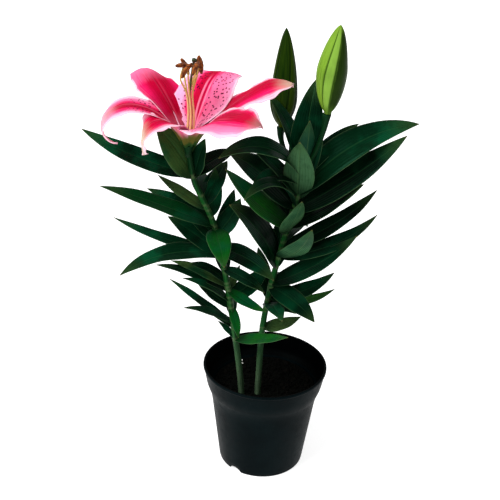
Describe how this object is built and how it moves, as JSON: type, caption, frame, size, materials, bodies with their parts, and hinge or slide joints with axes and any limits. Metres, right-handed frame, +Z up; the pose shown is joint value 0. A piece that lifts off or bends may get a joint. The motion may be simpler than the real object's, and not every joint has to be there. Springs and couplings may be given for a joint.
{
  "type": "potted lily",
  "caption": "Round tapered nursery pot of soil holding a bulb with two leafy stems, an open lily bloom with stamens, and two tall closed buds.",
  "frame": {"origin": "centre of the pot's flat foot, on the surface that it stands on", "axes": "+Z up the plant, -Y towards the viewer of the picture, +X to the viewer's right, the side of the two buds"},
  "size_m": [0.3177, 0.1732, 0.4756],
  "materials": {
    "pot_plastic": "fine matte moulded plastic",
    "soil": "moist dark compost",
    "bulb_scale": "pale fleshy scales",
    "foliage": "satin leaf",
    "tepal": "soft satin petal",
    "filament": "satin",
    "anther": "powdery pollen",
    "pistil": "satin",
    "bud_light": "satin",
    "bud_dark": "satin"
  },
  "bodies": {
    "root": {"pot": "pot_plastic", "soil": "soil", "bulb": "bulb_scale", "leafy_stem_left": "foliage", "leafy_stem_right": "foliage", "tepal_outer_1": "tepal", "tepal_outer_2": "tepal", "tepal_outer_3": "tepal", "tepal_inner_1": "tepal", "tepal_inner_2": "tepal", "tepal_inner_3": "tepal", "filament_1": "filament", "anther_1": "anther", "filament_2": "filament", "anther_2": "anther", "filament_3": "filament", "anther_3": "anther", "filament_4": "filament", "anther_4": "anther", "filament_5": "filament", "anther_5": "anther", "filament_6": "filament", "anther_6": "anther", "pistil": "pistil", "bud_front": "bud_light", "bud_back": "bud_dark"}
  },
  "joints": []
}
